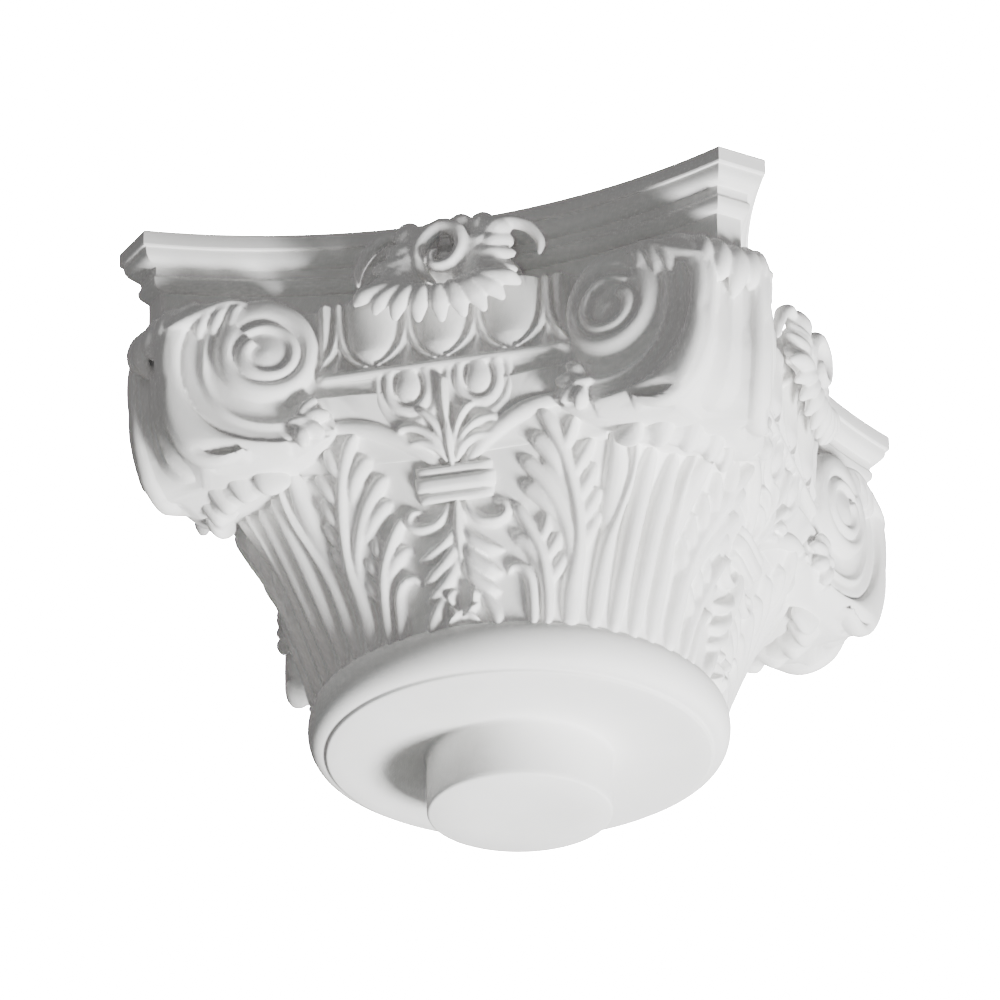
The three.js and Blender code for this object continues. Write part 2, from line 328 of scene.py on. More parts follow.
def alongPath(points, share):
    # Catmull-Rom through the points, by share of the number of spans
    points = np.array([tuple(p) + (0.0,) * (3 - len(p)) for p in points], float)
    if len(points) == 2:
        return points[0] + (points[1] - points[0]) * share[:, None]
    padded = np.vstack([2 * points[0] - points[1], points, 2 * points[-1] - points[-2]])
    spot = np.clip(share, 0, 1) * (len(points) - 1)
    low = np.minimum(spot.astype(int), len(points) - 2)
    t = (spot - low)[:, None]
    a, b, c, d = (padded[low + k] for k in range(4))
    return 0.5 * (2 * b + (c - a) * t + (2 * a - 5 * b + 4 * c - d) * t**2 + (3 * b - a - 3 * c + d) * t**3)


scratchMesh = bpy.data.meshes.new("scratch")


def addBall(bm, around, rings, spotsFor):
    # a ball pulled into shape on its own, then added to the rest
    ball = bmesh.new()
    made = bmesh.ops.create_uvsphere(ball, u_segments=around, v_segments=rings, radius=1.0)["verts"]
    for vert, at in zip(made, spotsFor(np.array([v.co for v in made]))):
        vert.co = at
    ball.to_mesh(scratchMesh)
    ball.free()
    bm.from_mesh(scratchMesh)


def stroke(bm, place, path, width, height, lift=0.0, blunt=0.28, rings=18, around=14):
    # one leaf lobe, rib or ribbon laid along a path on a carved surface:
    # width and height are half sizes along it, and lift raises its middle
    def spotsFor(unit):
        share = np.arccos(np.clip(-unit[:, 2], -1, 1)) / math.pi
        ring = np.hypot(unit[:, 0], unit[:, 1])
        taper = np.where(ring > 1e-6, np.maximum(ring, 1e-6) ** (blunt - 1), 0.0)
        across = unit[:, 0] * taper * blendStations(width, share)
        rise = unit[:, 1] * taper
        out = blendStations(height, share) * rise
        spot = alongPath(path, share)
        step = 0.01
        ahead = alongPath(path, np.clip(share + step, 0, 1))
        behind = alongPath(path, np.clip(share - step, 0, 1))
        a, b, stand = spot[:, 0], spot[:, 1], spot[:, 2]
        perA = place(a + 0.5, b, 0 * a) - place(a - 0.5, b, 0 * a)
        perB = place(a, b + 0.5, 0 * a) - place(a, b - 0.5, 0 * a)
        run = perA * (ahead - behind)[:, 0:1] + perB * (ahead - behind)[:, 1:2]
        run /= np.maximum(np.linalg.norm(run, axis=1, keepdims=True), 1e-9)
        up = np.cross(perA, perB)
        up /= np.linalg.norm(up, axis=1, keepdims=True)
        side = np.cross(run, up)
        moveA = across * np.sum(side * perA, axis=1) / np.sum(perA * perA, axis=1)
        moveB = across * np.sum(side * perB, axis=1) / np.sum(perB * perB, axis=1)
        return place(a + moveA, b + moveB, stand + lift + out)

    addBall(bm, around, rings, spotsFor)


def mirroredPath(path, middle):
    return [(2 * middle - p[0],) + tuple(p[1:]) for p in path]


# neck, bed and tenon
foot = {
    "tenonRadius": 52.5,
    "tenonLength": 35.0,
    "bedRadius": 109.5,
    "torusMiddle": 109.0,
    "torusReach": 11.0,
    "torusLow": 2.2,
    "torusTop": 30.0,
    "around": 192,
}


def footProfile(settings):
    tenon, length = settings["tenonRadius"], settings["tenonLength"]
    bed = settings["bedRadius"]
    profile = [(0, -length), (30, -length), (tenon - 1.6, -length), (tenon - 0.5, -length + 0.5)]
    profile += [(tenon, -length + 1.6)]
    profile += [(tenon + 0.1, -length * (1 - k / 9)) for k in range(1, 9)]
    profile += [(tenon + 0.2, -1.8), (tenon + 0.8, -0.5), (tenon + 2.2, 0)]
    profile += [(tenon + 12 * k, 0) for k in range(1, 5)]
    profile += [(bed - 1.4, 0), (bed - 0.3, 0.3), (bed, 1.2), (bed, settings["torusLow"])]
    middle = (settings["torusLow"] + settings["torusTop"]) / 2
    high = (settings["torusTop"] - settings["torusLow"]) / 2
    for k in range(17):
        turn = math.radians(-82 + 164 * k / 16)
        out = settings["torusMiddle"] + settings["torusReach"] * math.cos(turn) ** 0.8
        profile.append((out, middle + high * math.sin(turn)))
    profile += [(settings["torusMiddle"] - 8, settings["torusTop"]), (0, settings["torusTop"])]
    return profile


def makeFoot(settings):
    bm = bmesh.new()
    verts = [bm.verts.new((radius, 0, height)) for radius, height in footProfile(settings)]
    edges = [bm.edges.new(pair) for pair in zip(verts, verts[1:])]
    bmesh.ops.spin(
        bm,
        geom=verts + edges,
        cent=(0, 0, 0),
        axis=(0, 0, 1),
        angle=2 * math.pi,
        steps=settings["around"],
        use_merge=True,
    )
    bmesh.ops.remove_doubles(bm, verts=bm.verts, dist=0.001)
    return finishPiece(bm, "neckAndTenon")


makeFoot(foot)

# abacus
slab = {
    "top": 267.0,
    "horn": 188.6,
    "hornInner": 167.0,
    "waist": 150.0,
    "hornShare": 0.45,
    "sideSteps": 40,
    "hornSteps": 4,
    "crease": 24.0,
    # how far in and how far down each line of the moulding lies
    "moulding": [
        (1.2, 0.0), (0.35, 0.35), (0.0, 1.2), (0.0, 9.0), (0.4, 9.8), (1.6, 10.2), (1.8, 12.0), (2.4, 14.6),
        (3.8, 16.8), (5.8, 18.2), (8.6, 18.8), (8.8, 20.0), (8.9, 24.0), (8.2, 25.0), (7.8, 26.0),
         (7.9, 28.5),
        (8.6, 30.5), (10.0, 32.2), (11.4, 33.2), (12.4, 33.6), (12.6, 40.0), (12.6, 62.0),
    ],
}


def slabPlan(settings, inset):
    horn, inner, waist = settings["horn"], settings["hornInner"], settings["waist"]
    sagitta = horn - waist
    arcRadius = (inner**2 + sagitta**2) / (2 * sagitta) + inset
    arcMiddle = waist - inset + arcRadius
    end = inner - inset * settings["hornShare"]
    sideSteps, hornSteps = settings["sideSteps"], settings["hornSteps"]
    plan = []
    for side in range(4):
        turn = side * math.pi / 2
        c, s = math.cos(turn), math.sin(turn)
        line = []
        for k in range(sideSteps + 1):
            x = end * (2 * k / sideSteps - 1)
            line.append((x, -(arcMiddle - math.sqrt(arcRadius**2 - x**2))))
        tip = line[-1]
        other = (-tip[1], -tip[0])
        for k in range(1, hornSteps):
            part = k / hornSteps
            line.append((tip[0] + (other[0] - tip[0]) * part, tip[1] + (other[1] - tip[1]) * part))
        plan += [(x * c - y * s, x * s + y * c) for x, y in line]
    return plan


def makeSlab(settings):
    lines = settings["moulding"]
    plan = slabPlan(settings, lines[0][0])
    bm = bmesh.new()
    ring = bmesh.ops.create_circle(bm, segments=len(plan), radius=1.0)["verts"]
    top = settings["top"]
    for vert, (x, y) in zip(ring, plan):
        vert.co = (x, y, top)
    edges = list({edge for vert in ring for edge in vert.link_edges})
    loop = ring
    for inset, down in lines[1:]:
        grown = bmesh.ops.extrude_edge_only(bm, edges=edges)["geom"]
        edges = [item for item in grown if isinstance(item, bmesh.types.BMEdge)]
        fresh = {item for item in grown if isinstance(item, bmesh.types.BMVert)}
        follow = []
        for vert in loop:
            follow.append(next(e.other_vert(vert) for e in vert.link_edges if e.other_vert(vert) in fresh))
        for vert, (x, y) in zip(follow, slabPlan(settings, inset)):
            vert.co = (x, y, top - down)
        edges = [e for e in edges if e.verts[0] in fresh and e.verts[1] in fresh]
        loop = follow
    bmesh.ops.holes_fill(bm, edges=[e for e in bm.edges if e.is_boundary], sides=0)
    bmesh.ops.triangulate(bm, faces=[f for f in bm.faces if len(f.verts) > 4])
    for edge in bm.edges:
        edge.smooth = edge.calc_face_angle(0.0) < math.radians(settings["crease"])
    return finishPiece(bm, "abacus")


makeSlab(slab)

# bell and acanthus leaves
wall = {
    "heights": [0, 15, 30, 45, 65, 85, 105, 125, 145, 165, 185, 205],
    "side": [116, 116, 113, 115, 119, 124, 131, 140, 150, 158, 165, 168],
    "corner": [114, 114, 115, 119, 127, 136, 149, 165, 182, 200, 208, 212],
}
tableHeights = np.arange(-20.0, 240.0)


def softTable(values):
    table = np.interp(tableHeights, wall["heights"], values)
    kernel = np.ones(13) / 13
    padded = np.pad(table, 12, mode="edge")
    return np.convolve(np.convolve(padded, kernel, "same"), kernel, "same")[12:-12]


sideTable = softTable(wall["side"])
cornerTable = softTable(wall["corner"])


def wallRadius(angle, height):
    toward = 0.5 - 0.5 * np.cos(np.radians(angle * 4))
    side = np.interp(height, tableHeights, sideTable)
    corner = np.interp(height, tableHeights, cornerTable)
    return side + (corner - side) * toward


def wallSpot(angle, height):
    radius = wallRadius(angle, height)
    turn = np.radians(angle)
    return np.stack([radius * np.sin(turn), -radius * np.cos(turn), height], axis=-1)


def onWall(angle, height, stand):
    # a point over the bell: degrees from the side's centre line, height, and how far it stands out
    spot = wallSpot(angle, height)
    perAngle = wallSpot(angle + 0.5, height) - wallSpot(angle - 0.5, height)
    perHeight = wallSpot(angle, height + 0.5) - wallSpot(angle, height - 0.5)
    out = np.cross(perAngle, perHeight)
    out /= np.linalg.norm(out, axis=-1, keepdims=True)
    return spot + out * np.asarray(stand)[..., None]


def bellCore(bm, angleLow, angleHigh, heightLow, heightHigh, inner):
    grid = bmesh.ops.create_grid(bm, x_segments=64, y_segments=72, size=1.0)["verts"]
    unit = np.array([v.co for v in grid])
    angle = angleLow + (angleHigh - angleLow) * (unit[:, 0] + 1) / 2
    height = heightLow + (heightHigh - heightLow) * (unit[:, 1] + 1) / 2
    for vert, at in zip(grid, wallSpot(angle, height)):
        vert.co = at
    faces = list({face for vert in grid for face in vert.link_faces})
    grown = bmesh.ops.extrude_face_region(bm, geom=faces, use_keep_orig=True)["geom"]
    for vert in (item for item in grown if isinstance(item, bmesh.types.BMVert)):
        spread = math.hypot(vert.co.x, vert.co.y)
        vert.co.x *= inner / spread
        vert.co.y *= inner / spread


leafSet = {
    "voxel": 0.8,
    "smoothing": 2,
    "triangles": 23000,
    "inner": 80.0,
    "low": 12.0,
    "high": 158.0,
    # leaves fan out from this angle and this height, less and less until fanEnd above it
    "fanAngle": 14.0,
    "fanFoot": 24.0,
    "fanEnd": 240.0,
    "fanOut": 0.0025,
    "fanUp": 0.2,
    "ribAngle": 42.5,
    "ribLean": 0.7,
    "ribTip": 124.0,
    "ribSpans": 5,
}


def onDiagonal(reach, height, across):
    # a point by its distance out along the diagonal, its height and how far it lies to the side
    return np.stack([(reach + across), -(reach - across), height * math.sqrt(2)], axis=-1) / math.sqrt(2)


def lobes(bm, rows):
    # each row: path on the bell, half widths, half heights, lift
    for path, width, height, lift in rows:
        stroke(bm, onWall, path, width, height, lift=lift)


def fannedOut(rows):
    # towards the corner the bell swells, and the leaves on it fan out and ride up
    s = leafSet
    fanned = []
    for path, *sizes in rows:
        line = []
        for angle, height in path:
            over = height - s["fanFoot"]
            toward = 0.5 - 0.5 * math.cos(math.radians(angle * 4))
            swell = over * (1 - over / s["fanEnd"]) * toward
            turn = s["fanOut"] * swell * (angle - s["fanAngle"])
            line.append((angle + turn, height + s["fanUp"] * swell))
        fanned.append((line, *sizes))
    return fanned


def makeLeaves(settings):
    bm = bmesh.new()
    bellCore(bm, -4, 49, settings["low"], settings["high"], settings["inner"])
    # tendril beside the pendant
    lobes(bm, [
        ([(19, 24), (18.9, 34), (18.4, 50), (16.6, 58), (13.8, 60), (12.2, 56)],
         (3.4, 3.4, 3.2, 3.0, 2.2), (5, 6, 6, 5, 4), 0.5),
    ])
    # small leaf: blade, stalk, left and right fingers
    lobes(bm, fannedOut([
        ([(22.4, 44), (20.8, 62), (18.8, 74), (15.8, 86)], (2.5, 8.0, 7.6, 2.5), (4, 5, 5, 4), 0),
        ([(22.8, 24), (22.7, 34), (22.3, 47), (20.8, 63), (18.2, 76), (15.2, 88), (14.0, 91)],
         (3.8, 3.8, 3.6, 3.8, 3.0), (6, 7, 8, 8, 5), 0.5),
        ([(21.9, 40), (20.6, 56), (18.2, 67), (15.4, 73), (13.2, 74.5)],
         (1.8, 3.2, 4.4, 4.6, 3.4), (5, 6, 6.5, 6, 4), 0),
        ([(20.2, 66), (21.4, 75), (21.7, 84)], (2.4, 3.6, 3.2), (6, 7, 5), 0),
        ([(21.4, 57), (23.6, 67), (24.7, 75)], (2.4, 3.9, 3.4), (6, 7, 5), 0),
        ([(22.4, 46), (25.0, 56), (26.4, 64)], (2.4, 3.9, 3.4), (5, 6, 5), 0),
    ]))
    # tall leaf: blade, stalk and tip, then the long left fingers and the short right ones
    lobes(bm, fannedOut([
        ([(28.8, 52), (27.2, 76), (24.2, 100), (20.6, 124)], (4, 14.5, 13.5, 4), (4, 5.4, 5.6, 5), 0),
        ([(29.2, 24), (28.8, 36), (28.7, 50), (29.0, 66), (27.6, 86), (24.7, 108), (20.9, 128),
         (18.4, 136)],
         (7.0, 6.6, 5.2, 3.8, 3.8, 4.6, 3.2), (6, 7, 8, 9, 9, 8.5, 5), 0.5),
        ([(27.6, 44), (27.6, 60), (26.0, 76), (22.0, 95), (17.6, 109), (15.4, 112.5)],
         (3.0, 4.0, 4.4, 4.8, 4.8, 3.2), (5, 7, 8, 8, 7, 5), 0),
        ([(25.0, 94), (22.4, 109), (19.4, 119), (17.8, 121)], (2.6, 4.6, 4.8, 3.2), (7, 8, 7, 5), 0),
        ([(25.6, 74), (22.0, 87), (18.0, 97), (15.6, 99.5)], (2.6, 4.6, 4.8, 3.2), (6, 7, 6.5, 4), 0),
        ([(23.6, 106), (24.8, 118), (25.2, 127)], (2.6, 4.6, 3.8), (7, 8, 6), 0),
        ([(25.0, 92), (27.4, 106), (28.8, 115.5)], (2.6, 4.8, 4.0), (7, 8, 6), 0),
        ([(26.4, 80), (28.9, 95), (30.0, 104)], (2.6, 4.6, 3.8), (7, 8, 6), 0),
        ([(27.6, 70), (30.2, 84), (31.5, 93)], (2.6, 4.4, 3.6), (6, 7, 6), 0),
        ([(28.8, 60), (31.0, 73), (32.3, 82)], (2.4, 4.0, 3.2), (6, 7, 5), 0),
    ]))
    # broad spear between the tall leaf and the corner leaf, and the rib beside it
    lobes(bm, fannedOut([
        ([(35.0, 66), (34.4, 84), (33.9, 100), (32.8, 114), (31.8, 125)],
         (3.0, 6.0, 6.4, 5.0, 1.4), (4, 6, 7, 7, 5), 0.5),
        ([(35.6, 24), (35.4, 42), (35.2, 64), (36.0, 82), (36.5, 96), (36.2, 108), (35.2, 119)],
         (6.0, 5.6, 4.4, 3.0, 2.6, 2.6, 2.0), (5, 6.5, 7, 8, 9, 9, 7), 0.5),
    ]))
    # corner leaf: a rib on each side of the diagonal, from the neck up to the rolled tip
    ribRise = settings["ribTip"] - settings["fanFoot"]
    shares = [k / settings["ribSpans"] for k in range(settings["ribSpans"] + 1)]
    path = [
        (settings["ribAngle"] - settings["ribLean"] * (1 - t) ** 2, settings["fanFoot"] + ribRise * t)
        for t in shares
    ]
    for line in (path, mirroredPath(path, 45.0)):
        stroke(bm, onWall, line, (5.6, 5.2, 5.0, 5.4, 6.0, 6.0), (5, 7, 8, 9, 9, 8), lift=0.5)
    makeKnob(bm)
    makePendant(bm)
    skin = remeshed(bm, settings["voxel"], settings["smoothing"], settings["triangles"])
    cutEighth(skin)
    roundFour(skin)
    return finishPiece(skin, "acanthusLeaves")


def onCorner(across, height, stand):
    return onDiagonal(186.0 - 0.012 * across**2 + stand, height - 0.004 * across**2, across)


def makeKnob(bm):
    # a thick roll across the corner with broad round lobes that fold over it
    stroke(bm, onCorner, [(-33, 117), (-18, 121), (0, 122), (18, 121), (33, 117)], (7, 9.5, 10, 9.5, 7),
           (6, 9, 10, 9, 6), rings=30, around=24, blunt=0.5)
    for middle, half, tall in ((0.0, 9.6, 15.5), (17.0, 8.6, 14.0), (31.0, 6.6, 11.0)):
        for sign in ((1,) if middle == 0 else (1, -1)):
            x = sign * middle
            path = [(x * 0.9, 123 - tall), (x, 123), (x, 123 + 0.8 * tall)]
            width = (half * 0.8, half, half * 0.9)
            stroke(bm, onCorner, path, width, (8, tall * 0.9, 10), lift=1.5, blunt=0.5)


def makePendant(bm):
    # drooping leaves under the tie, both halves drawn so the centre line is whole
    rows = [
        ([(0.0, 100), (0.0, 84), (0.0, 60)], (2.6, 3.4, 2.0), (6, 7, 5), 0.5),
        ([(2.0, 99), (3.4, 92), (6.4, 86.5), (10.4, 86), (12.6, 90), (11.6, 95), (9.2, 95)],
         (2.0, 3.0, 3.4, 3.4, 3.2, 2.8, 2.4), (5, 6, 6.5, 6.5, 6, 5.5, 4.5), 0.5),
        ([(0.8, 86), (3.4, 77), (7.6, 71), (11.6, 69)], (2.4, 3.8, 4.0, 2.4), (5, 7, 6.5, 4), 0.5),
        ([(0.6, 78), (3.2, 67), (7.4, 59), (11.0, 56)], (2.4, 4.6, 4.8, 2.8), (5, 7.5, 7, 4), 0.5),
        ([(0.6, 70), (3.0, 57), (7.0, 49), (10.2, 46)], (2.4, 4.4, 4.4, 2.6), (5, 7, 6, 4), 0.5),
        ([(3.6, 52), (6.6, 42), (9.0, 32), (9.4, 24)], (2.4, 3.8, 4.0, 3.0), (5, 6, 6, 5), 0.0),
        ([(2.0, 50), (3.4, 45), (2.6, 40)], (2.0, 2.6, 2.0), (6, 7.5, 6), 0.5),
        ([(4.4, 41), (2.2, 36), (-0.4, 31)], (1.4, 2.0, 1.4), (6, 7, 6), 0.5),
        ([(4.6, 29), (2.0, 33), (-0.4, 38)], (1.4, 2.0, 1.4), (6, 7, 6), 0.5),
    ]
    for path, width, height, lift in rows:
        stroke(bm, onWall, path, width, height, lift=lift)
        stroke(bm, onWall, mirroredPath(path, 0.0), width, height, lift=lift)


makeLeaves(leafSet)

# volutes, corner strips and echinus
scroll = {
    "voxel": 0.75,
    "smoothing": 2,
    "triangles": 23500,
    "eye": (100.0, 168.0, 183.0),  # across, out from the axis, height
    "turnIn": 16.0,
    "eyeStand": 7.0,
    "coneReach": 33.0,
    "bandRise": 3.8,
    "filletRise": 3.2,
    # radius by angle round the eye, in degrees from straight outward, turning up and inward
    "edge": [(-130, 60), (-97, 62), (-79, 65), (-61, 72), (-50, 71.5), (-39, 68.2), (-28, 64.9), (-14, 60),
             (0, 60.5), (14, 61), (26, 61), (38, 56), (50, 46), (62, 41), (90, 39.5), (120, 36),
              (150, 32), (180, 29),
             (205, 29.5), (230, 60)],
    "fillet": [(-130, 60), (-110, 53), (-90, 51), (-60, 51.5), (-30, 49.5), (0, 48.5), (30, 48.5), (45, 45),
               (60, 41.5), (90, 41), (230, 60)],
    "ridge": [(-130, 43.5), (-90, 41.5), (-60, 40.5), (-30, 37.5), (0, 35), (30, 36.5), (45, 39),
              (60, 60), (230, 60)],
    "ring": [(-130, 27.5), (-90, 27), (-60, 27), (-30, 27.5), (0, 28.4), (30, 32), (48, 36), (60, 38),
             (90, 39),
             (120, 35.5), (150, 31.5), (180, 28.4), (205, 28), (230, 27.5)],
    # the groove that winds in between the turns of the band
    "groove": [(48, 21), (90, 22), (180, 19.7), (270, 16.8), (360, 18.6), (390, 17.5), (420, 15),
               (450, 14.5),
               (540, 12.4), (630, 9.4), (720, 8.6), (790, 6.6)],
}


def voluteSpot(outward, upward, stand):
    # a point on the right-hand volute: outward and upward from the eye, and how far it stands out
    across, out, height = scroll["eye"]
    turn = math.radians(scroll["turnIn"])
    x = across + outward * math.cos(turn) - stand * math.sin(turn)
    y = out + outward * math.sin(turn) + stand * math.cos(turn)
    return np.stack([x, -y, height + upward], axis=-1)


def coneStand(outward, upward):
    reach = np.hypot(outward, upward)
    return scroll["eyeStand"] * np.clip(1 - reach / scroll["coneReach"], 0, 1)


def onVolute(outward, upward, stand):
    return voluteSpot(outward, upward, stand + coneStand(outward, upward))


def byAngle(pairs, angle):
    return np.interp(angle, [p[0] for p in pairs], [p[1] for p in pairs])


def softBand(reach, low, high, rise):
    # a rounded band between two radii, falling to a crease at each side
    share = np.clip((reach - low) / np.maximum(high - low, 0.1), 0, 1)
    return rise * (1 - np.abs(2 * share - 1) ** 2.6)


def voluteRelief(outward, upward):
    reach = np.hypot(outward, upward)
    angle = np.degrees(np.arctan2(upward, outward))
    angle = np.where(angle < -130, angle + 360, angle)
    edge, fillet = byAngle(scroll["edge"], angle), byAngle(scroll["fillet"], angle)
    ridge, ring = byAngle(scroll["ridge"], angle), byAngle(scroll["ring"], angle)
    wound = np.where(angle < 48, angle + 360, angle)
    outerGroove = byAngle(scroll["groove"], wound)
    innerGroove = byAngle(scroll["groove"], wound + 360)
    stand = coneStand(outward, upward)
    rise = scroll["bandRise"]
    # the eye, the inner turn and the outer turn
    eye = 1.4 * np.sqrt(np.clip(1 - (reach / np.maximum(innerGroove, 6.6)) ** 2, 0, 1)) - 0.4
    relief = np.where(reach < innerGroove, eye, 0.0)
    inner = softBand(reach, innerGroove, outerGroove, rise)
    relief = np.where((reach >= innerGroove) & (reach < outerGroove), inner, relief)
    outer = softBand(reach, outerGroove, ring, rise + 0.6)
    relief = np.where((reach >= outerGroove) & (reach < ring), outer, relief)
    # valley, ridge, flat channel and the round fillet at the rim
    beyond = reach >= ring
    ridgeRise = 3.2 * np.exp(-(((reach - ridge) / 2.3) ** 2))
    channel = -1.8 + ridgeRise + 1.2 * np.clip((reach - ridge) / 9, 0, 1)
    relief = np.where(beyond, channel, relief)
    inFillet = (reach >= fillet) & (angle < 48) & (angle > -104)
    bead = scroll["filletRise"] * (1 - np.abs(2 * np.clip((reach - fillet) / (edge - fillet), 0, 1) - 1) ** 3)
    below = np.clip((-angle - 35) / 30, 0, 1)
    bead = bead * (1 - 0.4 * below) + 0.6 * below
    relief = np.where(inFillet, bead, relief)
    groove = np.exp(-(((reach - fillet) / 0.9) ** 2)) * (angle < 50)
    relief = relief - 2.4 * groove
    # under the scroll the face sinks back to the bell
    sunk = 24 * np.clip((-upward - 51) / 16, 0, 1.2) ** 1.6 * np.clip((42 - outward) / 14, 0, 1)
    return stand + relief - sunk


def rimmedVolute(outward, upward, stand):
    # past its outline the face turns straight back into the casting
    reach = np.hypot(outward, upward)
    angle = np.degrees(np.arctan2(upward, outward))
    edge = byAngle(scroll["edge"], np.where(angle < -130, angle + 360, angle))
    shrink = np.minimum(1, edge / np.maximum(reach, 1))
    back = np.clip((reach - edge) * 8, 0, 54)
    return voluteSpot(outward * shrink, upward * shrink, stand - back)


def faceSolid(bm, place, relief, a, b, steps, back):
    # a relief given as a height over a flat grid, closed behind
    grid = bmesh.ops.create_grid(bm, x_segments=steps[0], y_segments=steps[1], size=1.0)["verts"]
    unit = np.array([v.co for v in grid])
    alongA = a[0] + (a[1] - a[0]) * (unit[:, 0] + 1) / 2
    alongB = b[0] + (b[1] - b[0]) * (unit[:, 1] + 1) / 2
    front = place(alongA, alongB, relief(alongA, alongB))
    rear = back(alongA, alongB)
    for vert, at in zip(grid, front):
        vert.co = at
    keep = {tuple(vert.co): at for vert, at in zip(grid, rear)}
    faces = list({face for vert in grid for face in vert.link_faces})
    grown = bmesh.ops.extrude_face_region(bm, geom=faces, use_keep_orig=True)["geom"]
    for vert in (item for item in grown if isinstance(item, bmesh.types.BMVert)):
        vert.co = keep[tuple(vert.co)]


strip = {
    # the fillet's outer edge down the horn: outward and upward from the eye
    "line": [(40, 38), (52, 31), (59, 22), (61, 8), (60, -8), (58.5, -20), (57, -31), (53, -43),
             (46, -55), (35, -63),
             (24, -65), (12, -61)],
    # share of the half width from the middle out, and how far below the fillet
    "section": [(0, -4.6), (0.12, -5.6), (0.3, -6.2), (0.40, -6.8), (0.52, -7.0), (0.60, -5.6),
                (0.66, -1.6),
                (0.74, 0.0), (0.85, 0.7), (0.95, 0.2), (1.0, -1.2), (1.06, -4.0)],
}


def stripSpot(alongLine, share, stand):
    line = alongPath(strip["line"], alongLine)
    lean = math.radians(45 - scroll["turnIn"])
    across, out, height = scroll["eye"]
    reach = (across + out) / math.sqrt(2) + line[:, 0] * math.cos(lean)
    half = (out - across) / math.sqrt(2) - line[:, 0] * math.sin(lean)
    section = np.interp(np.abs(share), [p[0] for p in strip["section"]], [p[1] for p in strip["section"]])
    ahead = alongPath(strip["line"], np.clip(alongLine + 0.01, 0, 1))
    behind = alongPath(strip["line"], np.clip(alongLine - 0.01, 0, 1))
    slope = ahead - behind
    outward = np.stack([-slope[:, 1], slope[:, 0] * 0.9], axis=-1)
    outward /= np.linalg.norm(outward, axis=1, keepdims=True)
    push = section + stand
    return onDiagonal(reach + outward[:, 0] * push, height + line[:, 1] + outward[:, 1] * push, share * half)


def makeStrip(bm):
    def rear(alongLine, share):
        inner = stripSpot(alongLine, share, np.zeros_like(share))
        inner[:, 0] = 95 + share * 6
        inner[:, 1] = -95 + share * 6
        return inner

    faceSolid(bm, stripSpot, lambda a, b: 0 * a, (0.0, 1.0), (-1.06, 1.06), (90, 80), rear)


echinus = {
    "ground": [(120, 139), (128, 143), (134, 146.5), (140, 149.5), (146, 152), (152, 154.5),
               (158, 156.5), (164, 158),
               (167, 160), (172, 160), (174, 158.5), (185, 158), (206, 158.5), (216, 160)],
    "eggStep": 40.0,
    "eggHalf": [(171, 0.1), (173, 1.2), (175, 4.6), (178, 8.4), (183, 12.6), (188, 14.8), (194, 16.2),
                (204, 17.0), (216, 17.4)],
    "eggRise": 9.0,
    "rimWide": 3.8,
    "rimRise": 5.4,
    "dartHalf": [(171, 4.4), (173, 3.9), (178, 2.4), (183, 1.2), (189, 0.3), (192, 0.0), (216, 0.0)],
    "smallEgg": (20.3, 157.5, 7.4),
    "astragal": (169.2, 2.9, 3.4),
    "visibleTo": 68.0,
}


def onFront(x, height, stand):
    ground = byAngle(echinus["ground"], height)
    return np.stack([x, -(ground + stand), height], axis=-1)


def echinusRelief(x, height):
    s = echinus
    local = np.abs((x + s["eggStep"] / 2) % s["eggStep"] - s["eggStep"] / 2)
    half = byAngle(s["eggHalf"], height)
    upper = height > 172.0
    egg = s["eggRise"] * np.sqrt(np.clip(1 - (local / (half - 0.5)) ** 2.2, 0, 1)) - 0.8
    egg = egg * np.clip((height - 172) / 9, 0.2, 1) ** 0.5
    rimMiddle = half + 0.7 + s["rimWide"] / 2
    rim = s["rimRise"] * np.sqrt(np.clip(1 - ((local - rimMiddle) / (s["rimWide"] / 2 + 0.3)) ** 2, 0, 1))
    between = np.abs(local - s["eggStep"] / 2)
    dart = 3.2 * np.clip(1 - between / np.maximum(byAngle(s["dartHalf"], height), 0.05), 0, 1) ** 0.6
    band = np.where(local < half, egg, np.maximum(rim, dart) - 0.6)
    relief = np.where(upper, band, 0.0)
    middle, reach, rise = s["astragal"]
    roll = rise * np.sqrt(np.clip(1 - ((height - middle) / reach) ** 2, 0, 1))
    relief = np.where(np.abs(height - middle) < reach, roll, relief)
    # round eggs in looped surrounds on the splay under the astragal
    eggX, eggHeight, eggReach = s["smallEgg"]
    open_ = np.maximum(height - eggHeight, 0) * 0.62 + np.minimum(height - eggHeight, 0)
    away = np.hypot(np.abs(x) - eggX, open_)
    small = 5.2 * np.sqrt(np.clip(1 - (away / eggReach) ** 2, 0, 1))
    loop = 3.6 * np.sqrt(np.clip(1 - ((away - eggReach - 4.2) / 2.8) ** 2, 0, 1))
    outer = 2.0 * np.sqrt(np.clip(1 - ((away - eggReach - 10.2) / 2.2) ** 2, 0, 1))
    moat = -2.0 * np.exp(-(((away - eggReach - 0.6) / 0.9) ** 2))
    lower = height < 166.4
    relief = np.where(lower, np.maximum(np.maximum(small, loop), outer) + moat, relief)
    fade = np.clip((np.abs(x) - echinus["visibleTo"]) / 6, 0, 1)
    return relief * (1 - fade) - 2 * fade


def makeScrolls(settings):
    bm = bmesh.new()
    faceSolid(bm, rimmedVolute, voluteRelief, (-62, 68), (-74, 40), (200, 180),
              lambda outward, upward: rimmedVolute(outward, upward, np.full_like(outward, -56.0)))
    makeStrip(bm)
    faceSolid(bm, onFront, echinusRelief, (-3, 88), (122, 215), (150, 160),
              lambda x, height: np.stack([x, np.full_like(x, -100.0), height], axis=-1))
    makeTie(bm)
    makeRibbons(bm)
    makeHornLeaf(bm)
    skin = remeshed(bm, settings["voxel"], settings["smoothing"], settings["triangles"])
    cutEighth(skin)
    roundFour(skin)
    return finishPiece(skin, "volutesAndEchinus")


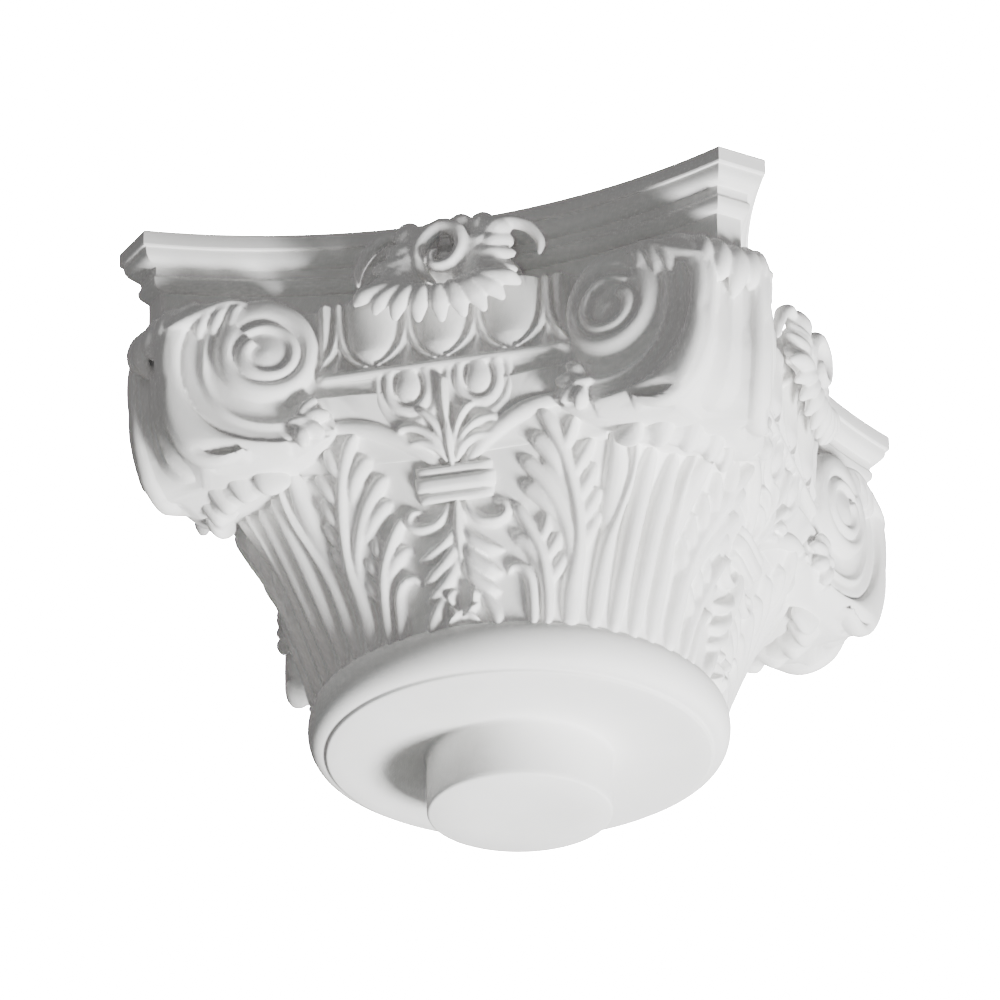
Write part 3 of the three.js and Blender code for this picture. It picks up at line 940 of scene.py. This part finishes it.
def makeTie(bm):
    # three moulded bands that tie the ribbons at the centre of each side
    bands = ((98.5, 104.0, 9.6, 7.5), (104.2, 112.8, 10.0, 9.5), (113.0, 118.0, 9.4, 7.5))
    for low, high, half, rise in bands:
        middle, reach = (low + high) / 2, (high - low) / 2

        def bandRelief(angle, height):
            roll = np.sqrt(np.clip(1 - (np.abs(height - middle) / reach) ** 4, 0, 1))
            side = np.sqrt(np.clip(1 - (np.abs(angle) / half) ** 8, 0, 1))
            return rise * roll * side - 2

        def bandBack(angle, height):
            return onWall(angle, height, np.full_like(angle, -12.0))

        faceSolid(bm, onWall, bandRelief, (-half, half), (low, high), (50, 16), bandBack)


def makeRibbons(bm):
    # from the tie the lip of the bell swings up to the volutes, with a spray of leaves above it
    rows = [
        ([(3.0, 116), (6.6, 125), (12.0, 134), (17.5, 140), (25.0, 143)],
         (3.4, 4.4, 5.2, 6.0, 6.4), (4, 4.4, 4.6, 4.6, 4), 0.6),
        ([(0.0, 116), (0.2, 130), (0.4, 142)], (1.6, 1.8, 1.2), (6, 7, 6), 2.0),
        ([(0.8, 118), (2.8, 126), (6.0, 130.5), (8.6, 130), (9.4, 127.5)],
         (1.8, 2.8, 2.8, 2.4, 2.0), (5, 6.5, 6, 5, 4), 1.6),
        ([(0.8, 122), (3.4, 132), (7.0, 138), (10.0, 138.5), (11.0, 136)],
         (1.8, 2.8, 2.8, 2.4, 2.0), (5, 6.5, 6, 5, 4), 2.0),
        ([(0.8, 126), (2.6, 138), (4.8, 145), (6.6, 146.5)], (1.6, 2.6, 2.6, 2.0), (5, 6.5, 6.5, 5), 2.6),
        ([(0.2, 138), (0.0, 150), (0.1, 163)], (1.0, 2.6, 2.2), (4, 5, 5), 4.0),
    ]
    for path, width, height, lift in rows:
        stroke(bm, onWall, path, width, height, lift=lift)
        stroke(bm, onWall, mirroredPath(path, 0.0), width, height, lift=lift)
    # small leaf over the joint of ribbon and volute
    for path, width in (
        ([(-18, -40), (-27, -37), (-36, -36)], (2.6, 4.6, 3.6)),
        ([(-18, -42), (-26, -45), (-33, -49)], (2.6, 4.6, 3.6)),
        ([(-17, -43), (-20, -50), (-22, -57)], (2.6, 4.2, 3.2)),
        ([(-17, -39), (-23, -32), (-28, -26)], (2.6, 4.2, 3.4)),
        ([(-12, -41), (-20, -41), (-29, -42)], (3.0, 3.0, 2.0)),
    ):
        stroke(bm, onVolute, path, width, (3.5, 5, 4), lift=2.0)


def makeHornLeaf(bm):
    # small leaf over the top of the volute, running out as a ribbon to the bud under the horn
    for path, width, high, lift in (
        ([(12, 35), (18, 29), (20, 22), (19, 17)], (2.4, 3.8, 3.6, 2.4), (4, 5, 4.5, 3), 1.5),
        ([(18, 35), (26, 28), (29.5, 20), (29, 14)], (2.4, 3.8, 3.6, 2.4), (4, 5, 4.5, 3), 1.5),
        ([(26, 33), (34, 26), (37.5, 19), (37.5, 13)], (2.4, 3.6, 3.4, 2.2), (4, 5, 4.5, 3), 1.0),
        ([(8, 34), (22, 34), (36, 28), (48, 22), (58, 17)], (3.0, 4.2, 4.2, 4.0, 3.6),
         (4, 5, 5, 5, 4), 1.0),
    ):
        stroke(bm, onVolute, path, width, high, lift=lift)
    petals = (
        ((232, 216), (242, 205), (244, 192), (238, 180), 0.0, 6.5),
        ((230, 218), (240, 208), (243, 196), (239, 187), 9.5, 5.5),
        ((227, 219), (236, 211), (239, 201), (236, 194), 17.5, 5.0),
    )
    for *line, across, half in petals:
        for sign in ((1,) if across == 0 else (1, -1)):
            def onBud(a, b, stand, spots=line, shift=sign * across):
                t = np.clip(a, -0.2, 1.2)
                at = alongPath(spots, np.clip(t, 0, 1))
                ahead = alongPath(spots, np.clip(t + 0.02, 0, 1))
                run = ahead - alongPath(spots, np.clip(t - 0.02, 0, 1))
                up = np.stack([-run[:, 1], run[:, 0]], axis=-1)
                up /= np.linalg.norm(up, axis=1, keepdims=True)
                return onDiagonal(at[:, 0] + up[:, 0] * stand, at[:, 1] + up[:, 1] * stand, shift + b)
            budStroke(bm, onBud, half)


def budStroke(bm, place, half):
    def spotsFor(unit):
        share = np.arccos(np.clip(-unit[:, 2], -1, 1)) / math.pi
        ring = np.hypot(unit[:, 0], unit[:, 1])
        taper = np.where(ring > 1e-6, np.maximum(ring, 1e-6) ** -0.45, 0.0)
        return place(share, unit[:, 0] * taper * half, unit[:, 1] * taper * 5.0)

    addBall(bm, 16, 14, spotsFor)


makeScrolls(scroll)

# fleurons on the abacus
fleuron = {
    "voxel": 0.75,
    "smoothing": 2,
    "triangles": 22000,
    "front": 165.0,
    "heart": (2.0, 212.0),
    # tips of the hanging collar and of the crown: across and height, half width, how far they stand out
    "collar": [(-48, 206, 4.6), (-36, 198, 4.6), (-24, 192, 4.8), (-10, 189, 5.0), (4, 187, 5.0),
               (17, 188, 5.0),
               (29, 190, 4.8), (40, 196, 4.6), (50, 205, 4.4)],
    "crown": [(-42, 217, 6.2), (-38, 229, 6.6), (-30, 240, 6.4), (47, 217, 6.4), (46, 228, 6.8),
              (40, 240, 7.0)],
}


def onFlower(x, height, stand):
    return np.stack([x, -(fleuron["front"] + stand), height], axis=-1)


def makeFleurons(settings):
    bm = bmesh.new()
    heartX, heartZ = settings["heart"]
    # the ground of the flower, sunk into the abacus
    ground = [(-40, 218), (-14, 224), (18, 224), (46, 218)]
    stroke(bm, onFlower, ground, (14, 25, 25, 14), (16, 17, 17, 16), lift=-13)
    for x, height, half in settings["collar"]:
        dx, dz = x - heartX, height - heartZ
        path = [
            (heartX + 0.16 * dx, heartZ + 0.05 * dz, 8.0),
            (heartX + 0.55 * dx, heartZ + 0.22 * dz, 14.5),
            (heartX + 0.86 * dx, heartZ + 0.62 * dz, 14.0),
            (x, height, 9.5),
        ]
        stroke(bm, onFlower, path, (1.8, half, half * 1.1, half * 0.7), (4, 5, 5, 3.5))
    for x, height, half in settings["crown"]:
        dx, dz = x - heartX, height - heartZ
        for shift, share in ((0.0, 1.0), (3.6, 0.9), (-3.6, 0.88)):
            path = [
                (heartX + 0.15 * dx, heartZ + 2 + 0.15 * dz, 6.0),
                (heartX + 0.6 * dx * share, heartZ + 2 + 0.72 * dz * share + 0.6 * shift, 10.5),
                (heartX + dx * share, heartZ + dz * share + shift, 5.0),
            ]
            stroke(bm, onFlower, path, (1.6, half * 0.7, half * 0.6), (4, 5.5, 4))
    rows = [
        # outer leaves that curl round each side
        ([(-12, 234, 4), (-25, 249, 5), (-38, 244, 4), (-46, 232, 3), (-47, 221, 2)],
         (2.6, 3.4, 3.2, 2.8, 2.0), (5, 5, 5, 4, 3)),
        ([(20, 230, 5), (34, 247, 6), (50, 246, 4), (59, 235, 3), (58, 226, 2)],
         (2.6, 3.8, 3.4, 3.0, 2.0), (5, 5, 5, 4, 3)),
        # lobes along the top
        ([(-10, 228, 4), (-15, 244, 8), (-17, 255, 6)], (4.6, 8.4, 8.0), (6, 8, 7)),
        ([(-6, 232, 3), (-5, 246, 5), (-2, 254, 4)], (4.6, 6.6, 5.6), (6, 7, 6)),
        ([(10, 238, 4), (14, 250, 6), (15, 257, 5)], (5.0, 7.6, 6.0), (6, 7, 6)),
        ([(18, 234, 4), (26, 248, 6), (29, 256, 5)], (5.0, 7.4, 6.8), (6, 7, 6)),
        ([(20, 230, 4), (34, 243, 7), (41, 250, 5)], (4.0, 8.0, 7.4), (6, 8, 6)),
        ([(16, 224, 4), (32, 234, 7), (44, 238, 4)], (4.0, 6.6, 5.4), (6, 8, 6)),
        ([(-8, 224, 4), (-20, 232, 7), (-30, 236, 4)], (4.0, 6.6, 5.4), (6, 8, 6)),
        # the leaf that rolls into a curl in the middle
        ([(2, 211, 10), (-8, 222, 12), (-8, 236, 13), (3, 246, 14), (14, 242, 15), (17, 231, 15),
         (11, 221, 15),
          (2, 220, 16), (-1, 227, 16), (4, 232, 15)], (3.0, 4.0, 4.4, 4.6, 4.4, 4.2, 3.8, 3.2, 2.6, 2.0),
         (5, 6, 6, 6, 6, 6, 6, 5, 5, 4)),
        ([(4, 222, 8), (6, 227, 9), (5, 231, 8)], (4, 6, 4), (6, 7, 6)),
    ]
    for path, width, height in rows:
        stroke(bm, onFlower, path, width, height, rings=26)
    skin = remeshed(bm, settings["voxel"], settings["smoothing"], settings["triangles"])
    turnFour(skin)
    return finishPiece(skin, "fleurons")


makeFleurons(fleuron)
